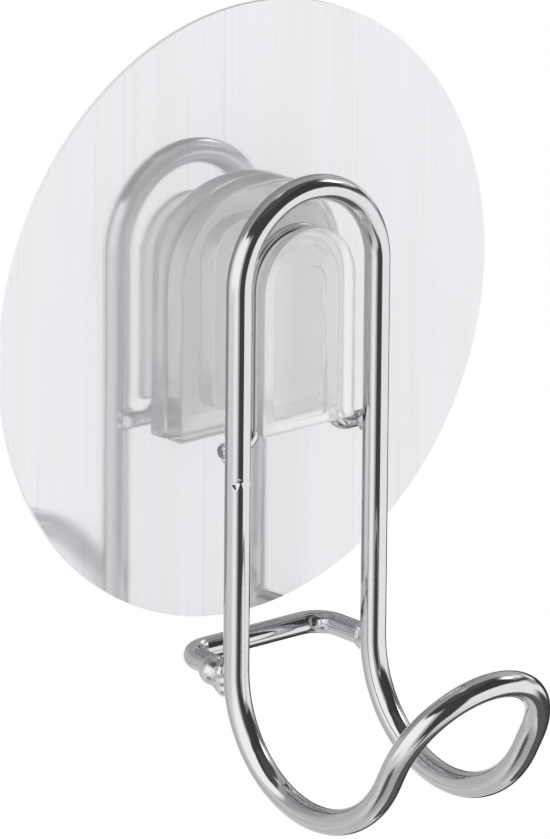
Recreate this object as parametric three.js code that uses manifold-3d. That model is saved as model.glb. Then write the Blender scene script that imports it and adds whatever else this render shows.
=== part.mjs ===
// Wall hook: a chromed wire hook that hangs on a clear holder, stuck to a wall by a thin round disc.
// Millimetres, +Z up. The origin is the disc's centre on the wall, and the front faces -Y.
import * as THREE from 'three';
import { mergeVertices } from 'three/addons/utils/BufferGeometryUtils.js';
import Module from 'manifold-3d';

const wasm = await Module();
wasm.setup();

// Driving dimensions: the wall disc
const discDiameter = 96;
const wallFilmThickness = 0.2;
const carrierThickness = 0.4;
const faceFilmThickness = 0.15;
const layerGap = 0.02;

// Driving dimensions: the clear holder, from the neck outwards
const neckHalfWidth = 6.3;
const neckArchZ = 7;
const neckBottomZ = -13;
const neckLength = 6.7;
const flangeLip = 2.85;
const flangeThickness = 1.5;
const flangeBottomLip = 2.2;
const panelMargin = 5.85;
const panelBottomMargin = 1.7;
const panelDepth = 0.4;
const stepShoulder = 6;
const stepRise = 3.7;
const stepBottomZ = -12.4;
const stepDepth = 2.9;
const stepTopRadius = 6.5;
const stepBottomRadius = 2.5;
const baseRim = 3.6;
const baseRise = 4;
const baseBottomRim = 5.2;
const baseThickness = 3.45;
const baseTopRadius = 14.5;
const padSideMargin = 1.5;
const padBottomMargin = 3.5;
const padThickness = 0.3;
const padBottomRadius = 2.5;

// Driving dimensions: the wire hook
const wireDiameter = 4;
const loopToFlange = 2.5;
const loopArchRise = 1.7;
const legLength = 59.6;
const bendRadius = 18.7;
const noseLean = 28;
const noseStraight = 2.8;
const buttWeldDrop = 4.35;
const buttWeldWidth = 0.9;
const buttWeldRidge = 0.3;

// Driving dimensions: the bail and the stand-off
const bailDiameter = 2.5;
const bailClearance = 0.3;
const slotClearance = 1.1;
const bailFootDrop = 1.95;
const bailFootBend = 3;
const bailFootPastLeg = 0.65;
const standoffDiameter = 3.5;
const standoffBelowBend = 0.75;
const standoffCorner = 4;
const discClearance = 0.3;
const weldGap = 0.1;
const bailBead = 1.9;
const bailBeadDepth = 1.3;
const standoffBead = 2.7;
const standoffBeadDepth = 1.8;
const standoffBeadSag = 0.8;

// Mesh fineness: sides round the disc, a rounded corner and a wire, degrees in a step of a bend and its fewest
// steps, rings in a weld bead and sides of the cuts in it, and how close two corners are to be one
const discSides = 96;
const cornerSides = 10;
const wireSides = 12;
const bendStep = 9;
const fewestBendSteps = 3;
const beadRings = 8;
const beadCutSides = 24;
const mergeDistance = 1e-5;

const clearPlastic = new THREE.MeshStandardMaterial({ color: 0xd3d5d1, roughness: 0.25, metalness: 0 });
const adhesive = new THREE.MeshStandardMaterial({ color: 0xd9dad6, roughness: 0.7, metalness: 0 });
const clearSheet = new THREE.MeshStandardMaterial({ color: 0xe4e7ea, roughness: 0.4, metalness: 0 });
const brushedFilm = new THREE.MeshStandardMaterial({ color: 0xe6e8ec, roughness: 0.3, metalness: 0.9 });
const chrome = new THREE.MeshStandardMaterial({ color: 0xdfe1e4, roughness: 0.08, metalness: 1 });

const hook = new THREE.Group();

function addNode(name, geometry, material) {
  const mesh = new THREE.Mesh(geometry, material);
  mesh.name = name;
  hook.add(mesh);
  return mesh;
}

// Joining and cutting of closed meshes

function toSolid(geometry) {
  const bare = geometry.clone();
  bare.deleteAttribute('normal');
  bare.deleteAttribute('uv');
  const merged = mergeVertices(bare, mergeDistance);
  const vertProperties = new Float32Array(merged.attributes.position.array);
  const triVerts = new Uint32Array(merged.index.array);
  return new wasm.Manifold(new wasm.Mesh({ numProp: 3, vertProperties, triVerts }));
}

function toGeometry(solid) {
  const mesh = solid.getMesh();
  const geometry = new THREE.BufferGeometry();
  geometry.setAttribute('position', new THREE.BufferAttribute(mesh.vertProperties, 3));
  geometry.setIndex(new THREE.BufferAttribute(mesh.triVerts, 1));
  geometry.computeVertexNormals();
  return geometry;
}

// Flat plates and blocks, drawn in X and Z and extruded towards the front

// A corner is no rounder than half the plate's width.
function roundedShape({ halfWidth, top, bottom, ...corners }) {
  const topRadius = Math.min(corners.topRadius, halfWidth);
  const bottomRadius = Math.min(corners.bottomRadius, halfWidth);
  const shape = new THREE.Shape();
  shape.moveTo(-halfWidth + bottomRadius, bottom);
  shape.lineTo(halfWidth - bottomRadius, bottom);
  if (bottomRadius > 0) {
    shape.absarc(halfWidth - bottomRadius, bottom + bottomRadius, bottomRadius, -Math.PI / 2, 0, false);
  }
  shape.lineTo(halfWidth, top - topRadius);
  shape.absarc(halfWidth - topRadius, top - topRadius, topRadius, 0, Math.PI / 2, false);
  shape.absarc(-halfWidth + topRadius, top - topRadius, topRadius, Math.PI / 2, Math.PI, false);
  shape.lineTo(-halfWidth, bottom + bottomRadius);
  if (bottomRadius > 0) {
    shape.absarc(-halfWidth + bottomRadius, bottom + bottomRadius, bottomRadius, Math.PI, 1.5 * Math.PI, false);
  }
  return shape;
}

// An arc in a shape takes two sides for each curve segment.
function slab(shape, backY, thickness, arcSides) {
  const curveSegments = arcSides / 2;
  const geometry = new THREE.ExtrudeGeometry(shape, { depth: thickness, bevelEnabled: false, curveSegments });
  geometry.rotateX(Math.PI / 2);
  geometry.translate(0, backY, 0);
  return geometry;
}

// The wall disc: three round films, each bonded to the next

const discShape = new THREE.Shape();
discShape.absarc(0, 0, discDiameter / 2, 0, 2 * Math.PI, false);
const carrierBackY = -wallFilmThickness - layerGap;
const faceFilmBackY = carrierBackY - carrierThickness - layerGap;
const discFrontY = faceFilmBackY - faceFilmThickness;
addNode('wall_film', slab(discShape, 0, wallFilmThickness, discSides), adhesive);
addNode('carrier_sheet', slab(discShape, carrierBackY, carrierThickness, discSides), clearSheet);
addNode('face_film', slab(discShape, faceFilmBackY, faceFilmThickness, discSides), brushedFilm);

// The holder: base, step, neck and flange, moulded in one piece

const flangeHalfWidth = neckHalfWidth + flangeLip;
const panelHalfWidth = flangeHalfWidth - panelMargin;
const neckTopZ = neckArchZ + neckHalfWidth;
const flangeBottomZ = neckBottomZ - flangeBottomLip;
const neck = {
  halfWidth: neckHalfWidth,
  top: neckTopZ,
  bottom: neckBottomZ,
  topRadius: neckHalfWidth,
  bottomRadius: 0,
};
const flange = {
  halfWidth: flangeHalfWidth,
  top: neckArchZ + flangeHalfWidth,
  bottom: flangeBottomZ,
  topRadius: flangeHalfWidth,
  bottomRadius: 0,
};
const panel = {
  halfWidth: panelHalfWidth,
  top: neckArchZ + panelHalfWidth,
  bottom: flangeBottomZ + panelBottomMargin,
  topRadius: panelHalfWidth,
  bottomRadius: 0,
};
const step = {
  halfWidth: neckHalfWidth + stepShoulder,
  top: neckTopZ + stepRise,
  bottom: stepBottomZ,
  topRadius: stepTopRadius,
  bottomRadius: stepBottomRadius,
};
const base = {
  halfWidth: step.halfWidth + baseRim,
  top: step.top + baseRise,
  bottom: stepBottomZ - baseBottomRim,
  topRadius: baseTopRadius,
  bottomRadius: 0,
};
const pad = {
  halfWidth: base.halfWidth - padSideMargin,
  top: base.top - padSideMargin,
  bottom: base.bottom + padBottomMargin,
  topRadius: baseTopRadius - padSideMargin,
  bottomRadius: padBottomRadius,
};
const padBackY = discFrontY - layerGap;
const baseBackY = padBackY - padThickness - layerGap;
const stepBackY = baseBackY - baseThickness;
const neckBackY = stepBackY - stepDepth;
const flangeBackY = neckBackY - neckLength;
const flangeFrontY = flangeBackY - flangeThickness;

// Each layer starts at the base's back, and the neck ends inside the flange, so that they join without seams.
function holderLayer(outline, frontY) {
  return toSolid(slab(roundedShape(outline), baseBackY, baseBackY - frontY, cornerSides));
}

const flangeSlab = slab(roundedShape(flange), flangeBackY, flangeThickness, cornerSides);
const panelCut = slab(roundedShape(panel), flangeFrontY + panelDepth, 2 * panelDepth, cornerSides);
const holderSolid = holderLayer(base, stepBackY)
  .add(holderLayer(step, neckBackY))
  .add(holderLayer(neck, flangeBackY - flangeThickness / 2))
  .add(toSolid(flangeSlab))
  .subtract(toSolid(panelCut));
addNode('bond_pad', slab(roundedShape(pad), padBackY, padThickness, cornerSides), adhesive);
addNode('holder', toGeometry(holderSolid), clearPlastic);

// Bent wire: straight runs and round bends, each with its own number of steps

class Bend extends THREE.Curve {
  constructor(centre, startSpoke, endwards, radius, angle) {
    super();
    Object.assign(this, { centre, startSpoke, endwards, radius, angle });
  }

  getPoint(t) {
    const turned = this.angle * t;
    return this.centre.clone()
      .addScaledVector(this.startSpoke, this.radius * Math.cos(turned))
      .addScaledVector(this.endwards, this.radius * Math.sin(turned));
  }

  getTangent(t) {
    const turned = this.angle * t;
    return this.endwards.clone()
      .multiplyScalar(Math.cos(turned))
      .addScaledVector(this.startSpoke, -Math.sin(turned));
  }
}

class BentWire extends THREE.Curve {
  constructor(start, heading) {
    super();
    this.runs = [];
    this.end = start.clone();
    this.heading = heading.clone().normalize();
  }

  straight(length) {
    const next = this.end.clone().addScaledVector(this.heading, length);
    this.runs.push({ curve: new THREE.LineCurve3(this.end, next), steps: 1 });
    this.end = next;
    return this;
  }

  bend(towards, radius, degrees) {
    const spoke = towards.clone().negate();
    const centre = this.end.clone().addScaledVector(towards, radius);
    const curve = new Bend(centre, spoke, this.heading.clone(), radius, THREE.MathUtils.degToRad(degrees));
    this.runs.push({ curve, steps: Math.max(fewestBendSteps, Math.round(degrees / bendStep)) });
    this.end = curve.getPoint(1);
    this.heading = curve.getTangent(1).normalize();
    return this;
  }

  get steps() {
    return this.runs.reduce((sum, run) => sum + run.steps, 0);
  }

  locate(t) {
    let along = t * this.steps;
    for (const run of this.runs) {
      if (along <= run.steps) {
        return [run.curve, along / run.steps];
      }
      along -= run.steps;
    }
    return [this.runs.at(-1).curve, 1];
  }

  getPoint(t) {
    const [curve, local] = this.locate(t);
    return curve.getPoint(local);
  }

  getTangent(t) {
    const [curve, local] = this.locate(t);
    return curve.getTangent(local);
  }

  getPointAt(u) {
    return this.getPoint(u);
  }

  getTangentAt(u) {
    return this.getTangent(u);
  }
}

function wireGeometry(path, diameter) {
  const section = new THREE.Shape();
  section.absarc(0, 0, diameter / 2, 0, 2 * Math.PI, false);
  return new THREE.ExtrudeGeometry(section, {
    steps: path.steps,
    extrudePath: path,
    curveSegments: wireSides / 2,
  });
}

const right = new THREE.Vector3(1, 0, 0);
const left = new THREE.Vector3(-1, 0, 0);
const back = new THREE.Vector3(0, 1, 0);
const front = new THREE.Vector3(0, -1, 0);
const up = new THREE.Vector3(0, 0, 1);

// The hook wire: up from the butt weld on the left leg, over the arch, down the right leg, round the J,
// across the nose, and back to the weld along the left side

const wireRadius = wireDiameter / 2;
const bailRadius = bailDiameter / 2;
const bailY = flangeBackY + slotClearance + bailRadius;
const legY = bailY - bailRadius - weldGap - wireRadius;
const legX = flangeHalfWidth + loopToFlange + wireRadius;
const archZ = neckArchZ + loopArchRise;
const bendZ = archZ - legLength;
const bailFootZ = flangeBottomZ - bailFootDrop;
const weldZ = bailFootZ - buttWeldDrop;
const weldHalfGap = buttWeldWidth / 2 + weldGap;
const bendDegrees = 180 - noseLean;

const loopPath = new BentWire(new THREE.Vector3(-legX, legY, weldZ + weldHalfGap), up)
  .straight(archZ - weldZ - weldHalfGap)
  .bend(right, legX, 180)
  .straight(legLength)
  .bend(front, bendRadius, bendDegrees)
  .straight(noseStraight)
  .bend(left, legX, 180)
  .straight(noseStraight);
const towardsBend = new THREE.Vector3().crossVectors(right, loopPath.heading).normalize();
loopPath
  .bend(towardsBend, bendRadius, bendDegrees)
  .straight(weldZ - bendZ - weldHalfGap);
addNode('hook_wire', wireGeometry(loopPath, wireDiameter), chrome);

// The butt weld: the upset metal between the two ends of the hook wire, a little below the bail's foot

const ridgeRadius = wireRadius + buttWeldRidge;
const buttWeldProfile = [
  [0, -buttWeldWidth / 2],
  [wireRadius, -buttWeldWidth / 2],
  [ridgeRadius, -buttWeldWidth / 4],
  [ridgeRadius, buttWeldWidth / 4],
  [wireRadius, buttWeldWidth / 2],
  [0, buttWeldWidth / 2],
].map(([r, z]) => new THREE.Vector2(r, z));
const buttWeld = new THREE.LatheGeometry(buttWeldProfile, wireSides);
buttWeld.rotateX(Math.PI / 2);
const buttWeldMesh = addNode('butt_weld', buttWeld, chrome);
buttWeldMesh.position.set(-legX, legY, weldZ);

// The bail: an arch over the neck, with a foot turned out behind each leg

const bailX = neckHalfWidth + bailClearance + bailRadius;
const bailFootLength = legX + bailFootPastLeg - bailX - bailFootBend;
const bailRise = neckArchZ - bailFootZ - bailFootBend;
const bailStart = new THREE.Vector3(-bailX - bailFootBend - bailFootLength, bailY, bailFootZ);
const bailPath = new BentWire(bailStart, right)
  .straight(bailFootLength)
  .bend(up, bailFootBend, 90)
  .straight(bailRise)
  .bend(right, bailX, 180)
  .straight(bailRise)
  .bend(right, bailFootBend, 90)
  .straight(bailFootLength);
addNode('bail_wire', wireGeometry(bailPath, bailDiameter), chrome);

// The stand-off: a U whose bar lies close to the disc's plane and whose arms butt against the legs

const standoffZ = bendZ - standoffBelowBend;
const standoffRadius = standoffDiameter / 2;
const standoffY = discFrontY - discClearance - standoffRadius;
const armEndY = legY + wireRadius + weldGap;
const armLength = standoffY - standoffCorner - armEndY;
const barLength = 2 * (legX - standoffCorner);
const standoffPath = new BentWire(new THREE.Vector3(-legX, armEndY, standoffZ), back)
  .straight(armLength)
  .bend(right, standoffCorner, 90)
  .straight(barLength)
  .bend(front, standoffCorner, 90)
  .straight(armLength);
addNode('standoff_wire', wireGeometry(standoffPath, standoffDiameter), chrome);

// The weld beads: rounded lumps, hollowed to sit round the two wires that they join

function wireCut(radius, length, axis, centre) {
  const cleared = (radius + weldGap / 2) / Math.cos(Math.PI / beadCutSides);
  const geometry = new THREE.CylinderGeometry(cleared, cleared, length, beadCutSides);
  geometry.applyQuaternion(new THREE.Quaternion().setFromUnitVectors(back, axis));
  geometry.translate(...centre);
  return toSolid(geometry);
}

function bead(size, centre, cuts) {
  const lump = new THREE.SphereGeometry(1, wireSides, beadRings);
  lump.scale(...size);
  lump.translate(...centre);
  return toGeometry(cuts.reduce((solid, cut) => solid.subtract(cut), toSolid(lump)));
}

// A cut runs past its bead by a wire's radius at each end, and the arm's cut starts at the arm's end.
const bailCutLength = 2 * bailBead + wireDiameter;
const standoffCutLength = 2 * (standoffBead + standoffBeadSag) + wireDiameter;
const armCutY = armEndY - weldGap / 2 + standoffCutLength / 2;

for (const [side, sign] of [['left', -1], ['right', 1]]) {
  const x = sign * legX;

  const bailBeadGeometry = bead(
    [bailBead, bailBeadDepth, bailBead],
    [x, legY + wireRadius + weldGap / 2, bailFootZ],
    [
      wireCut(wireRadius, bailCutLength, up, [x, legY, bailFootZ]),
      wireCut(bailRadius, bailCutLength, right, [x, bailY, bailFootZ]),
    ],
  );
  addNode(`bail_weld_${side}`, bailBeadGeometry, chrome);

  const standoffBeadGeometry = bead(
    [standoffBead, standoffBeadDepth, standoffBead],
    [x, armEndY, standoffZ - standoffBeadSag],
    [
      wireCut(wireRadius, standoffCutLength, up, [x, legY, standoffZ]),
      wireCut(standoffRadius, standoffCutLength, back, [x, armCutY, standoffZ]),
    ],
  );
  addNode(`standoff_weld_${side}`, standoffBeadGeometry, chrome);
}

export default hook;
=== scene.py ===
# Wall hook: a chromed wire hook that hangs on a clear moulded holder, on a round disc that clings to a wall.
# Metres, +Z up, the wall at Y = 0 and the front towards -Y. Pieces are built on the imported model's boxes.
import math

import bmesh
import bpy
from mathutils import Matrix, Vector


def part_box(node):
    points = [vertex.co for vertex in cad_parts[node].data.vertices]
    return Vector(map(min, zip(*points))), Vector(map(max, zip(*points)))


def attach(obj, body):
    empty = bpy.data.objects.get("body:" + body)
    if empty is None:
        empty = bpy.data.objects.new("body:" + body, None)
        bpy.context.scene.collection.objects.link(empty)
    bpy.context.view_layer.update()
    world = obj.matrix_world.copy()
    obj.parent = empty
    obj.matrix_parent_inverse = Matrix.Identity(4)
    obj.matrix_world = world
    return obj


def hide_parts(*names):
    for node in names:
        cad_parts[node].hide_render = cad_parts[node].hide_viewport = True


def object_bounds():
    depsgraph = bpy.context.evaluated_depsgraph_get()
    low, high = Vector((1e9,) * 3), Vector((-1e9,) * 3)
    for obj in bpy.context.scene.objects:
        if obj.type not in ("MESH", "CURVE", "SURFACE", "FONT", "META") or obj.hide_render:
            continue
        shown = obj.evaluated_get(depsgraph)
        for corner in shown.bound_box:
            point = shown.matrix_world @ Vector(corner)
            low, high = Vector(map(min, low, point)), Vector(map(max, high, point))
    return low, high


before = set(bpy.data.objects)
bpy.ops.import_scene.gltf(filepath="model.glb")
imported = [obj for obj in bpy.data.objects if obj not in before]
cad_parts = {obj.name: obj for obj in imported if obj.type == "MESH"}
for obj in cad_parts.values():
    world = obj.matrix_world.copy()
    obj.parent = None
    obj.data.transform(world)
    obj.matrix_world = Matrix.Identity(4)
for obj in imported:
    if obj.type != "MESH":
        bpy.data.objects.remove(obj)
cad_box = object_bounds()


# Wall film
# The soft clear film on the back of the disc. It is cast in one thin layer and clings to a smooth wall by
# itself, so its face is glossy and flat, with the faint waviness of a cast film.
MM = 0.001
FULL_TURN = 2 * math.pi
DISC_SIDES = 192
FILM_EDGE = 0.015 * MM
SUPPORT = 0.05 * MM
SAME_POINT = 0.0005 * MM
CREASE = math.radians(35)


def to_linear(hex_colour):
    """The linear colour of an sRGB hex value."""
    channels = [int(hex_colour[i : i + 2], 16) / 255 for i in (1, 3, 5)]
    linear = [c / 12.92 if c <= 0.04045 else ((c + 0.055) / 1.055) ** 2.4 for c in channels]
    return (*linear, 1.0)


def new_material(name):
    """A material with an empty node tree."""
    material = bpy.data.materials.new(name)
    material.use_nodes = True
    material.node_tree.nodes.clear()
    return material


def add_node(tree, kind, inputs=None, **settings):
    """Adds a node with its settings. An input is a value, or a socket to link."""
    node = tree.nodes.new(kind)
    for name, value in settings.items():
        setattr(node, name, value)
    for name, value in (inputs or {}).items():
        if isinstance(value, bpy.types.NodeSocket):
            tree.links.new(value, node.inputs[name])
        else:
            node.inputs[name].default_value = value
    return node


def skin(name, rings, material):
    """A closed skin over rings of equally many points, with a flat face on the first ring and the last."""
    count = len(rings[0])
    last = (len(rings) - 1) * count
    faces = [tuple(range(count)), tuple(range(last, last + count))]
    for low_ring in range(0, last, count):
        for i in range(count):
            j = (i + 1) % count
            faces.append((low_ring + i, low_ring + j, low_ring + count + j, low_ring + count + i))
    mesh = bpy.data.meshes.new(name)
    mesh.from_pydata([tuple(point) for ring in rings for point in ring], [], faces)
    shell = bmesh.new()
    shell.from_mesh(mesh)
    bmesh.ops.remove_doubles(shell, verts=shell.verts, dist=SAME_POINT)
    bmesh.ops.recalc_face_normals(shell, faces=shell.faces)
    shell.to_mesh(mesh)
    shell.free()
    mesh.materials.append(material)
    mesh.shade_smooth()
    mesh.set_sharp_from_angle(angle=CREASE)
    piece = bpy.data.objects.new(name, mesh)
    bpy.context.scene.collection.objects.link(piece)
    return piece


def round_ring(radius, y):
    """A ring of points round the disc's axis."""
    angles = [FULL_TURN * i / DISC_SIDES for i in range(DISC_SIDES)]
    return [Vector((radius * math.cos(a), y, radius * math.sin(a))) for a in angles]


def round_film(name, node, material):
    """A thin round film in its node's place, with its cut edge eased."""
    low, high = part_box(node)
    radius = high.x
    inner = radius - FILM_EDGE
    rings = [
        round_ring(inner - SUPPORT, high.y),
        round_ring(inner, high.y),
        round_ring(radius, high.y - FILM_EDGE),
        round_ring(radius, low.y + FILM_EDGE),
        round_ring(inner, low.y),
        round_ring(inner - SUPPORT, low.y),
    ]
    film = skin(name, rings, material)
    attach(film, "wall_plate")
    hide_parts(node)
    return film


# Soft cast film: smooth and slightly tacky, so the eye gets a soft gloss with a faint slow waviness.
cling_film = new_material("soft_cast_cling_film")
FILM_WAVE = 9 * MM
tree = cling_film.node_tree
place = add_node(tree, "ShaderNodeTexCoord")
wave = add_node(
    tree, "ShaderNodeTexNoise", {"Vector": place.outputs["Object"], "Scale": 1 / FILM_WAVE, "Detail": 2.0}
)
wave_bump = add_node(
    tree, "ShaderNodeBump", {"Strength": 0.25, "Distance": 0.05 * MM, "Height": wave.outputs["Fac"]}
)
wave_gloss = add_node(
    tree, "ShaderNodeMapRange", {"Value": wave.outputs["Fac"], "To Min": 0.28, "To Max": 0.42}
)
film_shader = add_node(
    tree,
    "ShaderNodeBsdfPrincipled",
    {
        "Base Color": to_linear("#DEE0DE"),
        "Roughness": wave_gloss.outputs["Result"],
        "IOR": 1.45,
        "Normal": wave_bump.outputs["Normal"],
    },
)
add_node(tree, "ShaderNodeOutputMaterial", {"Surface": film_shader.outputs["BSDF"]})

wall_film = round_film("wall_film_sheet", "wall_film", cling_film)


# Carrier sheet
# The clear plastic sheet that stiffens the disc, die cut from a roll. Only its cut rim shows, as a thin pale
# line between the two films.

# Clear polyester sheet, die cut: a soft gloss on its rim, broken by fine streaks from the die.
clear_sheet = new_material("clear_pet_sheet_die_cut")
DIE_STREAK = 0.6 * MM
tree = clear_sheet.node_tree
place = add_node(tree, "ShaderNodeTexCoord")
streak = add_node(
    tree, "ShaderNodeTexNoise", {"Vector": place.outputs["Object"], "Scale": 1 / DIE_STREAK, "Detail": 3.0}
)
streak_gloss = add_node(
    tree, "ShaderNodeMapRange", {"Value": streak.outputs["Fac"], "To Min": 0.18, "To Max": 0.4}
)
sheet_shader = add_node(
    tree,
    "ShaderNodeBsdfPrincipled",
    {"Base Color": to_linear("#D2D5D6"), "Roughness": streak_gloss.outputs["Result"], "IOR": 1.57},
)
add_node(tree, "ShaderNodeOutputMaterial", {"Surface": sheet_shader.outputs["BSDF"]})

carrier_sheet = round_film("carrier_sheet_disc", "carrier_sheet", clear_sheet)


# Face film
# The metallised film on the front of the disc. It was brushed from top to bottom before the disc was cut, so
# its cut edge is bare. The real film lies a degree and a half out of true, so its shading normal leans.

# Brushed metal on film: a soft mirror with an upright grain that blurs it sideways, a few deeper hairlines and
# broad, faintly warm bands. The real grain is too fine to show, so it is drawn coarser.
brushed_film = new_material("brushed_metallised_film")
GRAIN_WIDTH = 0.16 * MM
GRAIN_LENGTH = 30 * MM
HAIRLINE_WIDTH = 0.5 * MM
HAIRLINE_LENGTH = 120 * MM
BAND_WIDTH = 6 * MM
GRAIN_DARK, GRAIN_LIGHT = 0.7, 1.3
DEEP_HAIRLINE, DEEPEST_HAIRLINE = 0.63, 0.75
COOL_BAND, WARM_BAND = 0.45, 0.6
FILM_LEAN = Vector((0, 0, 0.026))
CUT_EDGE_FACING = 0.9
tree = brushed_film.node_tree
place = add_node(tree, "ShaderNodeTexCoord")
grain_place = add_node(
    tree,
    "ShaderNodeMapping",
    {"Vector": place.outputs["Object"], "Scale": (1 / GRAIN_WIDTH, 1 / GRAIN_WIDTH, 1 / GRAIN_LENGTH)},
)
grain = add_node(
    tree, "ShaderNodeTexNoise", {"Vector": grain_place.outputs["Vector"], "Scale": 1.0, "Detail": 3.0}
)
hairline_place = add_node(
    tree,
    "ShaderNodeMapping",
    {
        "Vector": place.outputs["Object"],
        "Scale": (1 / HAIRLINE_WIDTH, 1 / HAIRLINE_WIDTH, 1 / HAIRLINE_LENGTH),
    },
)
hairline = add_node(
    tree, "ShaderNodeTexNoise", {"Vector": hairline_place.outputs["Vector"], "Scale": 1.0, "Detail": 4.0}
)
grain_sum = add_node(
    tree, "ShaderNodeMath", {0: grain.outputs["Fac"], 1: hairline.outputs["Fac"]}, operation="ADD"
)
grain_shade = add_node(
    tree,
    "ShaderNodeMix",
    {6: to_linear("#E3E4E8"), 7: to_linear("#E9EAED")},
    data_type="RGBA",
)
grain_step = add_node(
    tree,
    "ShaderNodeMapRange",
    {"Value": grain_sum.outputs["Value"], "From Min": GRAIN_DARK, "From Max": GRAIN_LIGHT},
)
tree.links.new(grain_step.outputs["Result"], grain_shade.inputs[0])
deep_hairline = add_node(
    tree,
    "ShaderNodeMapRange",
    {"Value": hairline.outputs["Fac"], "From Min": DEEP_HAIRLINE, "From Max": DEEPEST_HAIRLINE},
)
lined_shade = add_node(
    tree,
    "ShaderNodeMix",
    {0: deep_hairline.outputs["Result"], 6: grain_shade.outputs[2], 7: to_linear("#D6D7DA")},
    data_type="RGBA",
)
band_place = add_node(
    tree,
    "ShaderNodeMapping",
    {"Vector": place.outputs["Object"], "Scale": (1 / BAND_WIDTH, 1 / BAND_WIDTH, 1 / HAIRLINE_LENGTH)},
)
band = add_node(tree, "ShaderNodeTexNoise", {"Vector": band_place.outputs["Vector"], "Scale": 1.0})
warmth = add_node(
    tree,
    "ShaderNodeMapRange",
    {"Value": band.outputs["Fac"], "From Min": COOL_BAND, "From Max": WARM_BAND},
)
film_shade = add_node(
    tree,
    "ShaderNodeMix",
    {0: warmth.outputs["Result"], 6: lined_shade.outputs[2], 7: to_linear("#FEFDF9")},
    data_type="RGBA",
    blend_type="MULTIPLY",
)
film_facing = add_node(tree, "ShaderNodeNewGeometry")
film_lean = add_node(
    tree, "ShaderNodeVectorMath", {0: film_facing.outputs["Normal"], 1: FILM_LEAN}, operation="ADD"
)
grain_bump = add_node(
    tree,
    "ShaderNodeBump",
    {
        "Strength": 0.16,
        "Distance": 0.01 * MM,
        "Height": grain_sum.outputs["Value"],
        "Normal": film_lean.outputs["Vector"],
    },
)
grain_gloss = add_node(
    tree, "ShaderNodeMapRange", {"Value": hairline.outputs["Fac"], "To Min": 0.05, "To Max": 0.07}
)
across_grain = add_node(tree, "ShaderNodeTangent", direction_type="UV_MAP", uv_map="across_grain")
brushed_shader = add_node(
    tree,
    "ShaderNodeBsdfPrincipled",
    {
        "Base Color": film_shade.outputs[2],
        "Metallic": 0.66,
        "Roughness": grain_gloss.outputs["Result"],
        "Anisotropic": 0.85,
        "Tangent": across_grain.outputs["Tangent"],
        "Normal": grain_bump.outputs["Normal"],
    },
)
add_node(tree, "ShaderNodeOutputMaterial", {"Surface": brushed_shader.outputs["BSDF"]})

face_film = round_film("face_film_disc", "face_film", brushed_film)
face_film.data.materials.append(clear_sheet)
for face in face_film.data.polygons:
    face.material_index = int(abs(face.normal.y) < CUT_EDGE_FACING)
across = face_film.data.uv_layers.new(name="across_grain")
for loop in face_film.data.loops:
    corner = face_film.data.vertices[loop.vertex_index].co
    across.data[loop.index].uv = (corner.x, corner.z)


# Bond pad
# The cut pad of acrylic foam adhesive between the disc and the holder. It stays short of the holder's edge,
# and shows through the clear plastic as a milky field with rounded corners.
CORNER_SIDES = 24
EASE_STEPS = 6
LEAST_RADIUS = 0.02 * MM


def arch_outline(half_width, top, bottom, top_radius, bottom_radius, grow=0.0):
    """Points in X and Z round a plate with rounded corners, grown outwards or, where negative, inwards."""
    half_width, top, bottom = half_width + grow, top + grow, bottom - grow
    top_radius = max(top_radius + grow, LEAST_RADIUS)
    bottom_radius = max(bottom_radius + grow, LEAST_RADIUS)
    corners = [
        (half_width - bottom_radius, bottom + bottom_radius, bottom_radius, -90),
        (half_width - top_radius, top - top_radius, top_radius, 0),
        (-half_width + top_radius, top - top_radius, top_radius, 90),
        (-half_width + bottom_radius, bottom + bottom_radius, bottom_radius, 180),
    ]
    points = []
    for x, z, radius, start in corners:
        for i in range(CORNER_SIDES + 1):
            angle = math.radians(start + 90 * i / CORNER_SIDES)
            points.append((x + radius * math.cos(angle), z + radius * math.sin(angle)))
    return points


def arch_ring(outline, y, grow=0.0):
    """One ring of a plate's outline at a depth."""
    return [Vector((x, y, z)) for x, z in arch_outline(**outline, grow=grow)]


def outer_edge(outline, radius, side_y, face_y):
    """Rings of a rounded outer edge, from the side at side_y to the face at face_y, and a support ring."""
    lean = math.copysign(radius, face_y - side_y)
    rings = []
    for i in range(EASE_STEPS + 1):
        angle = math.pi / 2 * i / EASE_STEPS
        depth = face_y - lean * (1 - math.sin(angle))
        rings.append(arch_ring(outline, depth, radius * (math.cos(angle) - 1)))
    return [*rings, arch_ring(outline, face_y, -radius - SUPPORT)]


def inner_edge(outline, radius, face_y, side_y):
    """A support ring, and rings of a rounded inner corner from the face at face_y towards side_y."""
    lean = math.copysign(radius, side_y - face_y)
    rings = [arch_ring(outline, face_y, radius + SUPPORT)]
    for i in range(EASE_STEPS + 1):
        angle = math.pi / 2 * i / EASE_STEPS
        depth = face_y + lean * (1 - math.cos(angle))
        rings.append(arch_ring(outline, depth, radius * (1 - math.sin(angle))))
    return rings


# Acrylic foam adhesive: soft and milky, with a fine even cell that scatters light.
pad_adhesive = new_material("milky_acrylic_adhesive")
CELL = 0.35 * MM
tree = pad_adhesive.node_tree
place = add_node(tree, "ShaderNodeTexCoord")
cell = add_node(
    tree, "ShaderNodeTexNoise", {"Vector": place.outputs["Object"], "Scale": 1 / CELL, "Detail": 2.0}
)
cell_shade = add_node(
    tree,
    "ShaderNodeMix",
    {0: cell.outputs["Fac"], 6: to_linear("#CFCFCF"), 7: to_linear("#D9D9D9")},
    data_type="RGBA",
)
cell_bump = add_node(
    tree, "ShaderNodeBump", {"Strength": 0.3, "Distance": 0.03 * MM, "Height": cell.outputs["Fac"]}
)
pad_shader = add_node(
    tree,
    "ShaderNodeBsdfPrincipled",
    {
        "Base Color": cell_shade.outputs[2],
        "Roughness": 0.6,
        "IOR": 1.47,
        "Normal": cell_bump.outputs["Normal"],
    },
)
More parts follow.
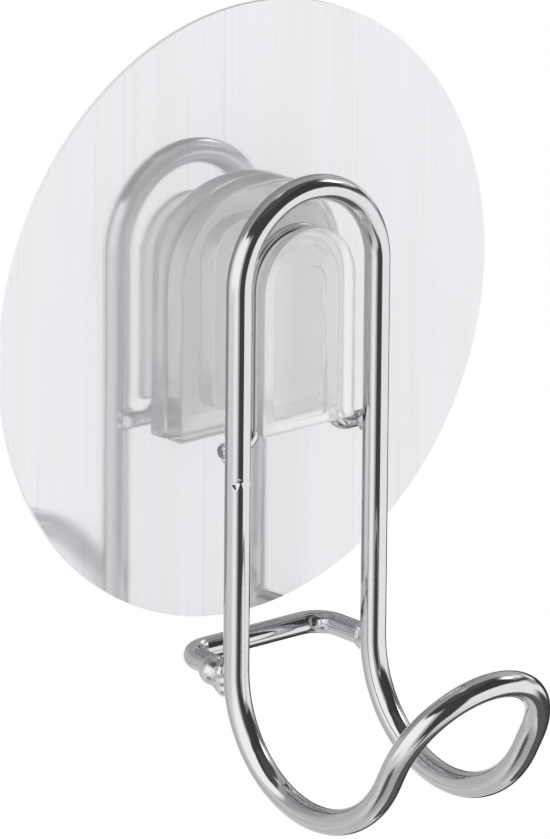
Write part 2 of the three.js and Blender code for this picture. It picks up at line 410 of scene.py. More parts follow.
add_node(tree, "ShaderNodeOutputMaterial", {"Surface": pad_shader.outputs["BSDF"]})

PAD_TOP_RADIUS = 13 * MM
PAD_BOTTOM_RADIUS = 2.5 * MM
PAD_EASE = 0.08 * MM
pad_low, pad_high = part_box("bond_pad")
pad_outline = {
    "half_width": pad_high.x,
    "top": pad_high.z,
    "bottom": pad_low.z,
    "top_radius": PAD_TOP_RADIUS,
    "bottom_radius": PAD_BOTTOM_RADIUS,
}
pad_rings = [
    *reversed(outer_edge(pad_outline, PAD_EASE, pad_low.y, pad_high.y)),
    *outer_edge(pad_outline, PAD_EASE, pad_high.y, pad_low.y),
]
bond_pad = skin("bond_pad_cut", pad_rings, pad_adhesive)
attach(bond_pad, "wall_plate")
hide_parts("bond_pad")


# Holder
# One clear injection moulding: a base, a step on it, a neck that the bail hangs over, and a flange with a
# shallow arched panel in its face. Its edges are eased and its roots are filleted, as the mould was cut.
BASE_THICKNESS = 3.45 * MM
STEP_DEPTH = 2.9 * MM
FLANGE_THICKNESS = 1.5 * MM
BASE_TOP_RADIUS = 14.5 * MM
STEP_RIM = 3.6 * MM
STEP_RISE = 4 * MM
STEP_BOTTOM_RIM = 5.2 * MM
STEP_TOP_RADIUS = 6.5 * MM
STEP_BOTTOM_RADIUS = 2.5 * MM
NECK_SHOULDER = 6 * MM
NECK_DROP = 3.7 * MM
NECK_BOTTOM_RIM = 4.6 * MM
FLANGE_LIP = 2.85 * MM
FLANGE_BOTTOM_LIP = 2.2 * MM
PANEL_MARGIN = 5.85 * MM
PANEL_BOTTOM_MARGIN = 1.7 * MM
PANEL_DEPTH = 0.4 * MM
MOULD_CORNER = 0.5 * MM
BACK_EASE = 0.25 * MM
BASE_EASE = 0.6 * MM
FLANGE_EASE = 0.45 * MM
PANEL_EASE = 0.15 * MM
ROOT_FILLET = 0.3 * MM

holder_low, holder_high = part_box("holder")
base_back, flange_front = holder_high.y, holder_low.y
step_back = base_back - BASE_THICKNESS
neck_back = step_back - STEP_DEPTH
flange_back = flange_front + FLANGE_THICKNESS
base_outline = {
    "half_width": holder_high.x,
    "top": holder_high.z,
    "bottom": holder_low.z,
    "top_radius": BASE_TOP_RADIUS,
    "bottom_radius": MOULD_CORNER,
}
step_outline = {
    "half_width": holder_high.x - STEP_RIM,
    "top": holder_high.z - STEP_RISE,
    "bottom": holder_low.z + STEP_BOTTOM_RIM,
    "top_radius": STEP_TOP_RADIUS,
    "bottom_radius": STEP_BOTTOM_RADIUS,
}
neck_half = step_outline["half_width"] - NECK_SHOULDER
neck_outline = {
    "half_width": neck_half,
    "top": step_outline["top"] - NECK_DROP,
    "bottom": holder_low.z + NECK_BOTTOM_RIM,
    "top_radius": neck_half,
    "bottom_radius": MOULD_CORNER,
}
flange_half = neck_half + FLANGE_LIP
flange_outline = {
    "half_width": flange_half,
    "top": neck_outline["top"] + FLANGE_LIP,
    "bottom": neck_outline["bottom"] - FLANGE_BOTTOM_LIP,
    "top_radius": flange_half,
    "bottom_radius": MOULD_CORNER,
}
panel_half = flange_half - PANEL_MARGIN
panel_outline = {
    "half_width": panel_half,
    "top": flange_outline["top"] - PANEL_MARGIN,
    "bottom": flange_outline["bottom"] + PANEL_BOTTOM_MARGIN,
    "top_radius": panel_half,
    "bottom_radius": MOULD_CORNER,
}

# Clear polystyrene, injection moulded: glass-clear in thin walls and faintly milky where light crosses more of
# it, with a soft gloss and slow flow marks. The flange's face came from a finely matt part of the mould, so it
# scatters more. Shadow rays pass, because the plastic lets light through to the disc.
clear_plastic = new_material("clear_polystyrene_moulding")
FLOW_MARK = 5 * MM
FACE_CLARITY, BODY_CLARITY = 0.75, 0.84
tree = clear_plastic.node_tree
place = add_node(tree, "ShaderNodeTexCoord")
flow = add_node(
    tree, "ShaderNodeTexNoise", {"Vector": place.outputs["Object"], "Scale": 1 / FLOW_MARK, "Detail": 3.0}
)
flow_gloss = add_node(
    tree, "ShaderNodeMapRange", {"Value": flow.outputs["Fac"], "To Min": 0.13, "To Max": 0.19}
)
flow_bump = add_node(
    tree, "ShaderNodeBump", {"Strength": 0.15, "Distance": 0.05 * MM, "Height": flow.outputs["Fac"]}
)
face_depth = add_node(tree, "ShaderNodeSeparateXYZ", {"Vector": place.outputs["Object"]})
face_clear = add_node(
    tree,
    "ShaderNodeMapRange",
    {
        "Value": face_depth.outputs["Y"],
        "From Min": flange_front + FLANGE_EASE,
        "From Max": flange_back,
        "To Min": FACE_CLARITY,
        "To Max": BODY_CLARITY,
    },
)
plastic_shader = add_node(
    tree,
    "ShaderNodeBsdfPrincipled",
    {
        "Base Color": to_linear("#F8F8F7"),
        "Roughness": flow_gloss.outputs["Result"],
        "IOR": 1.5,
        "Transmission Weight": face_clear.outputs["Result"],
        "Normal": flow_bump.outputs["Normal"],
    },
)
plastic_ray = add_node(tree, "ShaderNodeLightPath")
light_passed = add_node(tree, "ShaderNodeBsdfTransparent")
plastic_mix = add_node(
    tree,
    "ShaderNodeMixShader",
    {
        0: plastic_ray.outputs["Is Shadow Ray"],
        1: plastic_shader.outputs["BSDF"],
        2: light_passed.outputs["BSDF"],
    },
)
add_node(tree, "ShaderNodeOutputMaterial", {"Surface": plastic_mix.outputs["Shader"]})

base_rings = [
    *reversed(outer_edge(base_outline, BACK_EASE, step_back, base_back)),
    *outer_edge(base_outline, BASE_EASE, base_back, step_back),
    *inner_edge(step_outline, ROOT_FILLET, step_back, neck_back),
    *outer_edge(step_outline, BASE_EASE, step_back, neck_back),
]
neck_rings = [
    arch_ring(neck_outline, (base_back + step_back) / 2),
    *reversed(inner_edge(neck_outline, ROOT_FILLET, flange_back, neck_back)),
    *reversed(outer_edge(flange_outline, BACK_EASE, flange_front, flange_back)),
    *outer_edge(flange_outline, FLANGE_EASE, flange_back, flange_front),
    arch_ring(panel_outline, flange_front, PANEL_EASE + SUPPORT),
    arch_ring(panel_outline, flange_front, PANEL_EASE),
    arch_ring(panel_outline, flange_front + PANEL_EASE),
    arch_ring(panel_outline, flange_front + PANEL_DEPTH - PANEL_EASE),
    arch_ring(panel_outline, flange_front + PANEL_DEPTH, -PANEL_EASE),
    arch_ring(panel_outline, flange_front + PANEL_DEPTH, -PANEL_EASE - SUPPORT),
]
holder = skin("holder_moulding", base_rings, clear_plastic)
neck = skin("holder_neck", neck_rings, clear_plastic)
union = holder.modifiers.new("neck_union", "BOOLEAN")
union.operation = "UNION"
union.solver = "EXACT"
union.object = neck
joined = bpy.data.meshes.new_from_object(holder.evaluated_get(bpy.context.evaluated_depsgraph_get()))
holder.modifiers.clear()
holder.data = joined
holder.data.name = holder.name
holder.data.shade_smooth()
holder.data.set_sharp_from_angle(angle=CREASE)
bpy.data.objects.remove(neck)
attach(holder, "wall_plate")
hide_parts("holder")


# Hook wire
# One length of drawn steel wire, bent into a closed loop: an arch, two legs, a J and a round nose. It was
# plated after bending and welding, so the chrome runs without a break over the whole hook.
WIRE_DIAMETER = 3.995 * MM
BEND_RADIUS = 18.7 * MM
NOSE_LEAN = 28
NOSE_STRAIGHT = 2.8 * MM
BUTT_SEAM_HALF = 1.5 * MM
WIRE_SIDES = 56
BEND_STEP = 2.2
END_EASE = 0.35 * MM
SEAM_EASE = 0.01 * MM
RIGHT, LEFT = Vector((1, 0, 0)), Vector((-1, 0, 0))
FRONT, BACK = Vector((0, -1, 0)), Vector((0, 1, 0))
UP = Vector((0, 0, 1))


class BentWire:
    """A wire's centreline, laid run by run: points and the way that the wire heads at each."""

    def __init__(self, start, heading):
        self.points = [start]
        self.headings = [heading]

    def straight(self, length):
        """Adds a straight run."""
        self.points.append(self.points[-1] + self.headings[-1] * length)
        self.headings.append(self.headings[-1])
        return self

    def bend(self, side, radius, degrees):
        """Adds a round bend towards one side."""
        start, heading = self.points[-1], self.headings[-1]
        centre = start + side * radius
        steps = math.ceil(degrees / BEND_STEP)
        for i in range(1, steps + 1):
            angle = math.radians(degrees) * i / steps
            aside = side * (radius * math.cos(angle))
            ahead = heading * (radius * math.sin(angle))
            self.points.append(centre - aside + ahead)
            self.headings.append(heading * math.cos(angle) + side * math.sin(angle))
        return self


def wire(name, path, diameter, material, ease=END_EASE):
    """A round wire along its centreline, with eased ends, and its unrolled place as an attribute."""
    points, headings = list(path.points), list(path.headings)
    radii = [diameter / 2] * len(points)
    for end, inwards in ((0, 1), (-1, -1)):
        eased = points[end] + headings[end] * (inwards * ease)
        at = 1 if end == 0 else len(points) - 1
        points.insert(at, eased)
        headings.insert(at, headings[end])
        radii.insert(at, diameter / 2)
        radii[end] = diameter / 2 - ease
    side = headings[0].orthogonal().normalized()
    rings, unrolled, along = [], [], 0.0
    for i, (point, heading) in enumerate(zip(points, headings)):
        if i:
            along += (point - points[i - 1]).length
            side = headings[i - 1].rotation_difference(heading) @ side
        other = heading.cross(side)
        angles = [FULL_TURN * k / WIRE_SIDES for k in range(WIRE_SIDES)]
        rings.append([point + (side * math.cos(a) + other * math.sin(a)) * radii[i] for a in angles])
        unrolled += [(radii[i] * math.cos(a), radii[i] * math.sin(a), along) for a in angles]
    piece = skin(name, rings, material)
    attribute = piece.data.attributes.new("unrolled", "FLOAT_VECTOR", "POINT")
    for place, value in zip(attribute.data, unrolled):
        place.vector = value
    return piece


# Bright chrome over drawn wire: a mirror, with faint lengthwise draw lines and a slow ripple in the plating.
# The real draw lines are too fine to show, so they are drawn coarser.
wire_chrome = new_material("polished_chrome_on_drawn_wire")
DRAW_LINE = 0.5 * MM
DRAW_LENGTH = 14 * MM
RIPPLE = 3.5 * MM
tree = wire_chrome.node_tree
unrolled_place = add_node(tree, "ShaderNodeAttribute", attribute_name="unrolled")
draw_place = add_node(
    tree,
    "ShaderNodeMapping",
    {"Vector": unrolled_place.outputs["Vector"], "Scale": (1 / DRAW_LINE, 1 / DRAW_LINE, 1 / DRAW_LENGTH)},
)
draw_line = add_node(
    tree, "ShaderNodeTexNoise", {"Vector": draw_place.outputs["Vector"], "Scale": 1.0, "Detail": 1.0}
)
ripple = add_node(
    tree,
    "ShaderNodeTexNoise",
    {"Vector": unrolled_place.outputs["Vector"], "Scale": 1 / RIPPLE, "Detail": 1.0},
)
ripple_bump = add_node(
    tree, "ShaderNodeBump", {"Strength": 0.1, "Distance": 0.02 * MM, "Height": ripple.outputs["Fac"]}
)
draw_bump = add_node(
    tree,
    "ShaderNodeBump",
    {
        "Strength": 0.03,
        "Distance": 0.01 * MM,
        "Height": draw_line.outputs["Fac"],
        "Normal": ripple_bump.outputs["Normal"],
    },
)
draw_gloss = add_node(
    tree, "ShaderNodeMapRange", {"Value": draw_line.outputs["Fac"], "To Min": 0.05, "To Max": 0.13}
)
chrome_shader = add_node(
    tree,
    "ShaderNodeBsdfPrincipled",
    {
        "Base Color": to_linear("#DFE0E2"),
        "Metallic": 1.0,
        "Roughness": draw_gloss.outputs["Result"],
        "Normal": draw_bump.outputs["Normal"],
    },
)
add_node(tree, "ShaderNodeOutputMaterial", {"Surface": chrome_shader.outputs["BSDF"]})

wire_radius = WIRE_DIAMETER / 2
hook_low, hook_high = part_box("hook_wire")
butt_low, butt_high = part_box("butt_weld")
leg_x = hook_high.x - wire_radius
leg_y = hook_high.y - wire_radius
arch_z = hook_high.z - wire_radius - leg_x
bend_z = hook_low.z + wire_radius + BEND_RADIUS
butt_z = (butt_low.z + butt_high.z) / 2
bend_degrees = 180 - NOSE_LEAN
hook_path = (
    BentWire(Vector((-leg_x, leg_y, butt_z + BUTT_SEAM_HALF)), UP)
    .straight(arch_z - butt_z - BUTT_SEAM_HALF)
    .bend(RIGHT, leg_x, 180)
    .straight(arch_z - bend_z)
    .bend(FRONT, BEND_RADIUS, bend_degrees)
    .straight(NOSE_STRAIGHT)
    .bend(LEFT, leg_x, 180)
    .straight(NOSE_STRAIGHT)
)
hook_path.bend(RIGHT.cross(hook_path.headings[-1]), BEND_RADIUS, bend_degrees)
hook_path.straight(butt_z - bend_z - BUTT_SEAM_HALF)
hook_wire = wire("hook_wire_bent", hook_path, WIRE_DIAMETER, wire_chrome, SEAM_EASE)
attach(hook_wire, "hook")
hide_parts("hook_wire")


# Butt weld
# The seam where the two ends of the hook wire were butt welded. The metal that was squeezed out was ground off
# before plating, so it is nearly flush, with two small ground flats, a nick and one bead of spatter.
BUTT_RINGS = 60
BUTT_SIDES = 180
GROUND_FLATS = [
    {"azimuth": 5, "depth": 0.22 * MM, "top": 0.75 * MM, "bottom": -1.0 * MM},
    {"azimuth": -50, "depth": 0.13 * MM, "top": 0.7 * MM, "bottom": -0.6 * MM},
]
FLAT_LIP = 0.08 * MM
NICK_AZIMUTHS = (-70, -47)
NICK_TOP, NICK_BOTTOM = 0.44 * MM, -0.47 * MM
NICK_DEPTH = 0.42 * MM
SPATTER_AZIMUTH, SPATTER_RISE = -32, 1.3 * MM
SPATTER_RADIUS, SPATTER_HEIGHT = 0.16 * MM, 0.13 * MM


def seam_radius(azimuth, rise):
    """The seam's radius at an azimuth and a rise: round, less the flats and the nick, plus the spatter."""
    radius = wire_radius
    for flat in GROUND_FLATS:
        facing = math.cos(math.radians(azimuth - flat["azimuth"]))
        share = (rise - flat["bottom"]) / (flat["top"] - flat["bottom"])
        lip = (flat["top"] + FLAT_LIP - rise) / FLAT_LIP
        depth = flat["depth"] * max(0.0, min(share, lip, 1.0))
        if facing > 0:
            radius = min(radius, (wire_radius - depth) / facing)
    low, high = NICK_AZIMUTHS
    run = (NICK_TOP - rise) / (NICK_TOP - NICK_BOTTOM)
    edge = low + (high - low) * run
    if 0 <= run < 1 and edge < azimuth < high:
        radius -= NICK_DEPTH * (azimuth - edge) / (high - low)
    aside = math.radians(azimuth - SPATTER_AZIMUTH) * wire_radius
    away = (aside * aside + (rise - SPATTER_RISE) ** 2) / SPATTER_RADIUS**2
    return radius + SPATTER_HEIGHT * math.sqrt(max(0.0, 1 - away))


butt_rings = []
for i in range(BUTT_RINGS + 1):
    rise = BUTT_SEAM_HALF * (2 * i / BUTT_RINGS - 1)
    ring = []
    for k in range(BUTT_SIDES):
        azimuth = 360 * k / BUTT_SIDES - 180
        a = math.radians(azimuth)
        spoke = Vector((math.sin(a), -math.cos(a), 0))
        ring.append(Vector((-leg_x, leg_y, butt_z + rise)) + spoke * seam_radius(azimuth, rise))
    butt_rings.append(ring)
butt_weld = skin("butt_weld_seam", butt_rings, wire_chrome)
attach(butt_weld, "hook")
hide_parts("butt_weld")


# Bail wire
# The thinner drawn wire that hangs over the holder's neck: an arch with each end turned out behind a leg,
# where it is welded. Its ends are cropped at a slight lean, and it is plated with the hook.
BAIL_FOOT_BEND = 3 * MM
BAIL_CLEARANCE = 0.3 * MM
CROP_LEAN = 0.17
bail_low, bail_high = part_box("bail_wire")
bail_diameter = bail_high.y - bail_low.y
bail_y = (bail_high.y + bail_low.y) / 2
bail_foot_z = bail_low.z + bail_diameter / 2
bail_x = neck_half + BAIL_CLEARANCE + bail_diameter / 2
bail_arch_z = bail_high.z - bail_diameter / 2 - bail_x
bail_foot = bail_high.x - bail_x - BAIL_FOOT_BEND
bail_rise = bail_arch_z - bail_foot_z - BAIL_FOOT_BEND
bail_path = (
    BentWire(Vector((bail_low.x, bail_y, bail_foot_z)), RIGHT)
    .straight(bail_foot)
    .bend(UP, BAIL_FOOT_BEND, 90)
    .straight(bail_rise)
    .bend(RIGHT, bail_x, 180)
    .straight(bail_rise)
    .bend(RIGHT, BAIL_FOOT_BEND, 90)
    .straight(bail_foot)
)
bail_path.headings[0] = (RIGHT + FRONT * CROP_LEAN).normalized()
bail_path.headings[-1] = (RIGHT + BACK * CROP_LEAN).normalized()
bail_wire = wire("bail_wire_bent", bail_path, bail_diameter, wire_chrome)
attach(bail_wire, "hook")
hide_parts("bail_wire")


# Bail welds
# The metal squeezed out round the crossing where each foot of the bail was pressed and welded to the back of a
# leg: a low ring of lumps in the crease between the two wires, open towards the bail's cropped end.
DROPLET_FINENESS = 0.14
MELT_THRESHOLD = 0.1

# Chrome over weld metal: a little duller than the wire, and lumpy, with pits that the plating didn't fill.
weld_chrome = new_material("chrome_over_rough_weld")
WELD_LUMP = 0.8 * MM
tree = weld_chrome.node_tree
place = add_node(tree, "ShaderNodeTexCoord")
lump = add_node(
    tree, "ShaderNodeTexNoise", {"Vector": place.outputs["Object"], "Scale": 1 / WELD_LUMP, "Detail": 4.0}
)
lump_bump = add_node(
    tree, "ShaderNodeBump", {"Strength": 0.15, "Distance": 0.12 * MM, "Height": lump.outputs["Fac"]}
)
lump_gloss = add_node(
    tree, "ShaderNodeMapRange", {"Value": lump.outputs["Fac"], "To Min": 0.16, "To Max": 0.36}
)
weld_shader = add_node(
    tree,
    "ShaderNodeBsdfPrincipled",
    {
        "Base Color": to_linear("#E6E7E8"),
        "Metallic": 1.0,
        "Roughness": lump_gloss.outputs["Result"],
        "Normal": lump_bump.outputs["Normal"],
    },
)
add_node(tree, "ShaderNodeOutputMaterial", {"Surface": weld_shader.outputs["BSDF"]})


def weld_bead(name, droplets):
    """One lumpy bead, melted from droplets: each is a centre in metres and a radius in millimetres."""
    melt = bpy.data.metaballs.new(name)
    melt.resolution = DROPLET_FINENESS
    melt.render_resolution = DROPLET_FINENESS
    melt.threshold = MELT_THRESHOLD
    origin = droplets[0][0]
    for centre, radius in droplets:
        drop = melt.elements.new()
        drop.co = (centre - origin) / MM
        drop.radius = radius
    pool = bpy.data.objects.new(name + "_melt", melt)
    bpy.context.scene.collection.objects.link(pool)
    bead_mesh = bpy.data.meshes.new_from_object(pool.evaluated_get(bpy.context.evaluated_depsgraph_get()))
    bpy.data.objects.remove(pool)
    bead_mesh.transform(Matrix.Translation(origin) @ Matrix.Scale(MM, 4))
    bead_mesh.name = name
    bead_mesh.materials.append(weld_chrome)
    bead_mesh.shade_smooth()
    bead = bpy.data.objects.new(name, bead_mesh)
    bpy.context.scene.collection.objects.link(bead)
    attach(bead, "hook")
    return bead


BAIL_BEAD_REACH = 1.15 * MM
BAIL_DROPS = 14
BAIL_DROP_RADIUS = 0.85
BAIL_SWELL = 0.15
BEAD_LUMPS = 3
OPEN_SIDE = 0.7
seam_y = leg_y + wire_radius
for side, sign in (("left", -1), ("right", 1)):
    crossing = Vector((sign * leg_x, seam_y, bail_foot_z))
    drops = []
    for i in range(BAIL_DROPS):
        angle = FULL_TURN * i / BAIL_DROPS
        spoke = Vector((math.cos(angle), 0, math.sin(angle)))
        if spoke.x * sign > OPEN_SIDE:
            continue
        swell = 1.0 + BAIL_SWELL * math.sin(BEAD_LUMPS * angle + sign)
        drops.append((crossing + spoke * BAIL_BEAD_REACH, BAIL_DROP_RADIUS * swell))
    bail_weld = weld_bead(f"bail_weld_{side}_bead", drops)
    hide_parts(f"bail_weld_{side}")


# Stand-off wire
# The U of wire low at the back, which keeps the legs off the wall. It is bent from drawn wire, with its two
# cut ends butted against the backs of the legs.
STANDOFF_CORNER = 4 * MM
standoff_low, standoff_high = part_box("standoff_wire")
standoff_diameter = standoff_high.z - standoff_low.z
standoff_y = standoff_high.y - standoff_diameter / 2
standoff_z = (standoff_high.z + standoff_low.z) / 2
arm_end_y = standoff_low.y
arm_length = standoff_y - STANDOFF_CORNER - arm_end_y
standoff_path = (
    BentWire(Vector((-leg_x, arm_end_y, standoff_z)), BACK)
    .straight(arm_length)
    .bend(RIGHT, STANDOFF_CORNER, 90)
    .straight(2 * (leg_x - STANDOFF_CORNER))
    .bend(FRONT, STANDOFF_CORNER, 90)
    .straight(arm_length)
)
standoff_wire = wire("standoff_wire_bent", standoff_path, standoff_diameter, wire_chrome)
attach(standoff_wire, "hook")
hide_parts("standoff_wire")


# Stand-off welds
# The weld round each end of the stand-off. The metal ran down before it set, so it is a thin ring above and a
# web below, between the arm and the leg. The left web is long, with a round nugget. The right one is short.
RING_DROPS = 7
RING_INSET = 0.5 * MM
RING_DROP_RADIUS = 1.05
RING_SWELL = 0.12
WEB_DROPS = 10
WEB_LENGTH = {"left": 2.5 * MM, "right": 0.9 * MM}
WEB_FALL = {"left": 2.7 * MM, "right": 1.2 * MM}
WEB_TIP_SHARE = 0.5
WEB_CORE_SHARE = 0.5
WEB_ASIDE = 0.35 * MM
WEB_EDGE_RADIUS, WEB_CORE_RADIUS = 1.66, 1.8
NUGGET_RADIUS = {"left": 2.9, "right": 1.5}
NUGGET_SHARE = 0.9
NUGGET_ASIDE, NUGGET_FALL = 0.75, 0.35
arm_radius = standoff_diameter / 2
for side, sign in (("left", -1), ("right", 1)):
    joint = Vector((sign * leg_x, arm_end_y, standoff_z))
    drops = []
    for i in range(RING_DROPS):
        angle = math.pi * i / (RING_DROPS - 1)
        spoke = Vector((math.cos(angle), 0, math.sin(angle)))
        swell = 1.0 + RING_SWELL * math.sin(BEAD_LUMPS * angle + 2 * sign)
        drops.append((joint + spoke * (arm_radius - RING_INSET), RING_DROP_RADIUS * swell))
    aside = RIGHT * (sign * WEB_ASIDE)
    for i in range(WEB_DROPS):
        share = i / (WEB_DROPS - 1)
        along = BACK * (WEB_LENGTH[side] * share)
        fall = WEB_FALL[side] + (WEB_TIP_SHARE * arm_radius - WEB_FALL[side]) * share
        drops.append((joint + aside + along - UP * fall, WEB_EDGE_RADIUS))
        drops.append((joint + aside + along - UP * (WEB_CORE_SHARE * fall), WEB_CORE_RADIUS))
    nugget_place = joint + BACK * (NUGGET_SHARE * WEB_LENGTH[side])
    nugget_offset = Vector((sign * NUGGET_ASIDE, 0, -NUGGET_FALL)) * MM
    drops.append((nugget_place + nugget_offset, NUGGET_RADIUS[side]))
    standoff_weld = weld_bead(f"standoff_weld_{side}_bead", drops)
    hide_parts(f"standoff_weld_{side}")


# Studio
# A plain pale floor under the hanging part, soft boxes to the left, the right and the rear, and pale and dark
# cards that only reflections see, which give the chrome its bands. The world is white behind it all.
STUDIO_RADIUS = 0.75
FLOOR_DROP = 0.8
FLOOR_RADIUS = 0.7
middle = (cad_box[0] + cad_box[1]) / 2


def towards(azimuth, elevation):
    """The direction from the object at an azimuth from the front and an elevation, in degrees."""
    a, e = math.radians(azimuth), math.radians(elevation)
    return Vector((math.sin(a) * math.cos(e), -math.cos(a) * math.cos(e), math.sin(e)))


def stage_only(prop):
    """A prop that shows in reflections alone, and takes no light away."""
    prop.visible_camera = False
    prop.visible_diffuse = False
    prop.visible_transmission = False
    prop.visible_shadow = False


# Pale matt floor paint: even and dull, and faded out towards its rim, so that no edge shows.
floor_paint = new_material("pale_matt_floor_paint")
FADE_START, FADE_END = 0.6, 0.98
tree = floor_paint.node_tree
place = add_node(tree, "ShaderNodeTexCoord")
reach = add_node(tree, "ShaderNodeVectorMath", {0: place.outputs["Object"]}, operation="LENGTH")
fade = add_node(
    tree,
    "ShaderNodeMapRange",
    {
        "Value": reach.outputs["Value"],
        "From Min": FADE_START * FLOOR_RADIUS,
        "From Max": FADE_END * FLOOR_RADIUS,
    },
    interpolation_type="SMOOTHSTEP",
)
paint = add_node(
    tree, "ShaderNodeBsdfPrincipled", {"Base Color": to_linear("#EDEDEC"), "Roughness": 0.8}
)
clear = add_node(tree, "ShaderNodeBsdfTransparent")
faded = add_node(
    tree,
    "ShaderNodeMixShader",
    {0: fade.outputs["Result"], 1: paint.outputs["BSDF"], 2: clear.outputs["BSDF"]},
)
add_node(tree, "ShaderNodeOutputMaterial", {"Surface": faded.outputs["Shader"]})
floor_mesh = bpy.data.meshes.new("floor")
floor_angles = [FULL_TURN * i / DISC_SIDES for i in range(DISC_SIDES)]
floor_rim = [(FLOOR_RADIUS * math.cos(a), FLOOR_RADIUS * math.sin(a), 0) for a in floor_angles]
floor_mesh.from_pydata(floor_rim, [], [tuple(range(DISC_SIDES))])
floor_mesh.materials.append(floor_paint)
floor = bpy.data.objects.new("floor", floor_mesh)
floor.location = (middle.x, middle.y, middle.z - FLOOR_DROP)
bpy.context.scene.collection.objects.link(floor)

CARD_STEP = 3
CARD_GAP = 0.004


def soft_edges(tree, angle, limits, feather, foot):
    """A mask along one angle, which is 1 between two limits and falls off smoothly at both."""
    rise = add_node(
        tree,
        "ShaderNodeMapRange",
        {"Value": angle, "From Min": limits[0] - foot / 2, "From Max": limits[0] + foot / 2},
        interpolation_type="SMOOTHSTEP",
    )
    fall = add_node(
        tree,
        "ShaderNodeMapRange",
        {"Value": angle, "From Min": limits[1] + feather / 2, "From Max": limits[1] - feather / 2},
        interpolation_type="SMOOTHSTEP",
    )
    return add_node(
        tree, "ShaderNodeMath", {0: rise.outputs["Result"], 1: fall.outputs["Result"]}, operation="MULTIPLY"
    )


def card(name, azimuths, elevations, level, feather, layer, foot=None, seen_through=False):
    """A card of one brightness, curved round the object between two azimuths and two elevations.

    The feather is how many degrees its edges take to fade, and the foot is the same for its lower edge. A card
    with a lower layer stands in front. One that is seen through also shows in the clear plastic.
    """
    foot = foot or feather
    spans = [
        (azimuths[0] - feather / 2, azimuths[1] + feather / 2),
        (elevations[0] - foot / 2, elevations[1] + feather / 2),
    ]
    columns, rows = (math.ceil((high - low) / CARD_STEP) for low, high in spans)
    radius = STUDIO_RADIUS + CARD_GAP * layer
    angles = []
    for row in range(rows + 1):
        elevation = spans[1][0] + (spans[1][1] - spans[1][0]) * row / rows
        for column in range(columns + 1):
            angles.append((spans[0][0] + (spans[0][1] - spans[0][0]) * column / columns, elevation, 0))
    faces = []
    for row in range(rows):
        for column in range(columns):
            first = row * (columns + 1) + column
            faces.append((first, first + 1, first + columns + 2, first + columns + 1))
    material = new_material(name)
    material.cycles.emission_sampling = "NONE"
    tree = material.node_tree
    place = add_node(tree, "ShaderNodeAttribute", attribute_name="card_angles")
    angle = add_node(tree, "ShaderNodeSeparateXYZ", {"Vector": place.outputs["Vector"]})
    across = soft_edges(tree, angle.outputs["X"], azimuths, feather, feather)
    upwards = soft_edges(tree, angle.outputs["Y"], elevations, feather, foot)
    mask = add_node(
        tree,
        "ShaderNodeMath",
        {0: across.outputs["Value"], 1: upwards.outputs["Value"]},
        operation="MULTIPLY",
    )
    clear = add_node(tree, "ShaderNodeBsdfTransparent")
    glow = add_node(tree, "ShaderNodeEmission", {"Strength": level})
    edged = add_node(
        tree,
        "ShaderNodeMixShader",
        {0: mask.outputs["Value"], 1: clear.outputs["BSDF"], 2: glow.outputs["Emission"]},
    )
    add_node(tree, "ShaderNodeOutputMaterial", {"Surface": edged.outputs["Shader"]})
    mesh = bpy.data.meshes.new(name)
    mesh.from_pydata([middle + towards(a, e) * radius for a, e, _ in angles], [], faces)
    attribute = mesh.attributes.new("card_angles", "FLOAT_VECTOR", "POINT")
    for point, value in zip(attribute.data, angles):
        point.vector = value
    mesh.materials.append(material)
    prop = bpy.data.objects.new(name, mesh)
    bpy.context.scene.collection.objects.link(prop)
    stage_only(prop)
    prop.visible_transmission = seen_through


card("side_lamp_face", (63, 80), (27, 41), 2.2, 6, 0)
card("side_streak_upper", (80, 96), (18, 30), 1.0, 6, 0)
card("side_streak_lower", (96, 112), (1, 14), 0.9, 6, 0)
card("side_dark_card", (56, 94), (7, 18), 0.08, 7, 0.5)
card("gap_card", (-35, 8), (-28, 51), 0.06, 6, 1)
card("gap_foot_card", (-18, -2), (-44, -24), 0.1, 8, 1.2)
card("hood_corner_card", (-60, -32), (34, 56), 0.06, 5, 1.5)
card("right_card", (4, 64), (5, 53), 0.05, 8, 2)
card("right_table_card", (5, 105), (-86, -50), 0.12, 6, 2)
card("right_edge_card", (97, 142), (-56, 6), 0.04, 8, 2)
card("right_low_card", (72, 104), (-56, -23), 0.08, 8, 2.5)
card("right_rear_card", (62, 130), (8, 46), 0.5, 8, 3)
card("gap_edge_card", (-48, 4), (-29, 45), 0.4, 20, 3)
card("hood_card", (-100, -40), (39.5, 56), 0.06, 4, 3.5)
card("ceiling_card", (-110, 86), (44, 86), 0.09, 8, 4, seen_through=True)
card("table_edge_card", (-106, -70), (-54, -37), 0.08, 16, 4.5)
card("front_table_card", (-122, 34), (-80, -40), 0.48, 34, 5)
card("left_soft_box_face", (-120, -44), (-11, 43), 1.13, 8, 6, foot=18)
card("left_lower_bright_card", (-84, -44), (-34, -2), 1.02, 22, 7)
card("left_lower_card", (-136, -44), (-34, -2), 0.72, 22, 8)
card("left_rear_card", (-190, -128), (-38, 16), 0.56, 14, 9)
card("rear_low_card", (-260, -120), (-86, -38), 0.62, 24, 10)
card("rear_card", (76, 250), (-6, 86), 0.4, 10, 11)


def lamp(name, azimuth, elevation, distance, width, height, radiance):
    """A soft box that faces the object, of a given size and radiance. In reflections a card stands for it."""
    light = bpy.data.lights.new(name, "AREA")
    light.shape = "RECTANGLE"
    light.size = width
    light.size_y = height
    light.energy = radiance * math.pi * width * height
    box = bpy.data.objects.new(name, light)
    box.location = middle + towards(azimuth, elevation) * distance
    box.rotation_mode = "QUATERNION"
    box.rotation_quaternion = (-towards(azimuth, elevation)).to_track_quat("-Z", "Y")
    box.visible_camera = False
    box.visible_glossy = False
    box.visible_transmission = False
    bpy.context.scene.collection.objects.link(box)


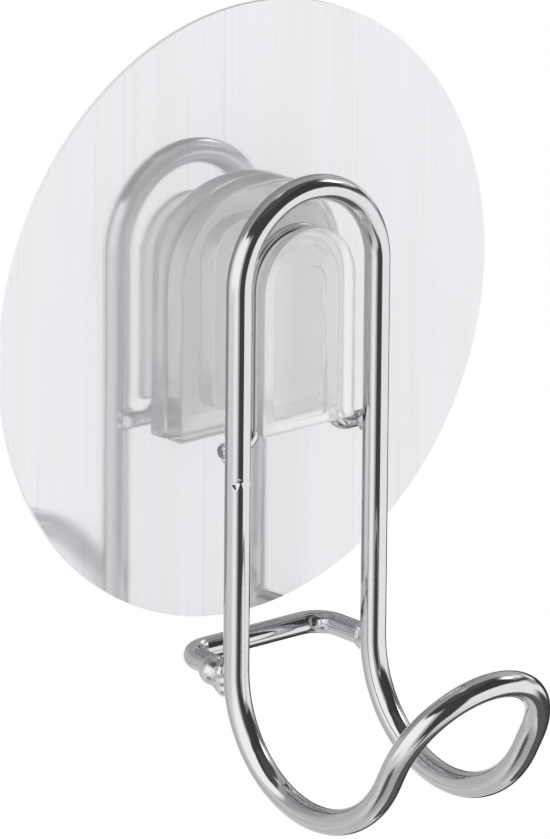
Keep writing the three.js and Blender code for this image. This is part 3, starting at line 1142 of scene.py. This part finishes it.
lamp("left_soft_box", -82, 12, 1.0, 1.45, 1.15, 2.0)
lamp("right_soft_box", 39, -20, 1.0, 1.45, 1.1, 1.8)
lamp("rear_soft_box", 180, 15, 1.0, 1.2, 1.0, 1.1)

AMBIENT_STRENGTH, WHITE_STRENGTH = 0.6, 1.0
world = bpy.data.worlds.new("white_studio")
bpy.context.scene.world = world
world.use_nodes = True
world.node_tree.nodes.clear()
tree = world.node_tree
ray = add_node(tree, "ShaderNodeLightPath")
mirrored = add_node(
    tree,
    "ShaderNodeMath",
    {0: ray.outputs["Is Camera Ray"], 1: ray.outputs["Is Glossy Ray"]},
    operation="MAXIMUM",
)
seen = add_node(
    tree,
    "ShaderNodeMath",
    {0: mirrored.outputs["Value"], 1: ray.outputs["Is Transmission Ray"]},
    operation="MAXIMUM",
)
ambient = add_node(
    tree, "ShaderNodeBackground", {"Color": to_linear("#FFFFFF"), "Strength": AMBIENT_STRENGTH}
)
white = add_node(
    tree, "ShaderNodeBackground", {"Color": to_linear("#FFFFFF"), "Strength": WHITE_STRENGTH}
)
sky = add_node(
    tree,
    "ShaderNodeMixShader",
    {0: seen.outputs["Value"], 1: ambient.outputs["Background"], 2: white.outputs["Background"]},
)
add_node(tree, "ShaderNodeOutputWorld", {"Surface": sky.outputs["Shader"]})
bpy.context.scene.view_settings.view_transform = "Standard"


# Camera
# A long lens from the front left, a little above the hook, as in the photograph. The image is 550 by 839.
VIEW_AZIMUTH, VIEW_ELEVATION, VIEW_ROLL = -40.501, 17.470, 0.518
VIEW_DISTANCE = 1.8
AIM = Vector((-10.28, -19.75, -10.86)) * MM
FOCAL_PIXELS = 12000
IMAGE_HEIGHT = 839
SENSOR = 36

lens = bpy.data.cameras.new("camera")
lens.sensor_width = SENSOR
lens.lens = FOCAL_PIXELS / IMAGE_HEIGHT * SENSOR
camera = bpy.data.objects.new("camera", lens)
back = towards(VIEW_AZIMUTH, VIEW_ELEVATION)
level = UP.cross(back).normalized()
upright = Matrix((level, back.cross(level), back)).transposed()
rolled = upright @ Matrix.Rotation(math.radians(VIEW_ROLL), 3, "Z")
camera.matrix_world = Matrix.Translation(AIM + back * VIEW_DISTANCE) @ rolled.to_4x4()
bpy.context.scene.collection.objects.link(camera)
bpy.context.scene.camera = camera
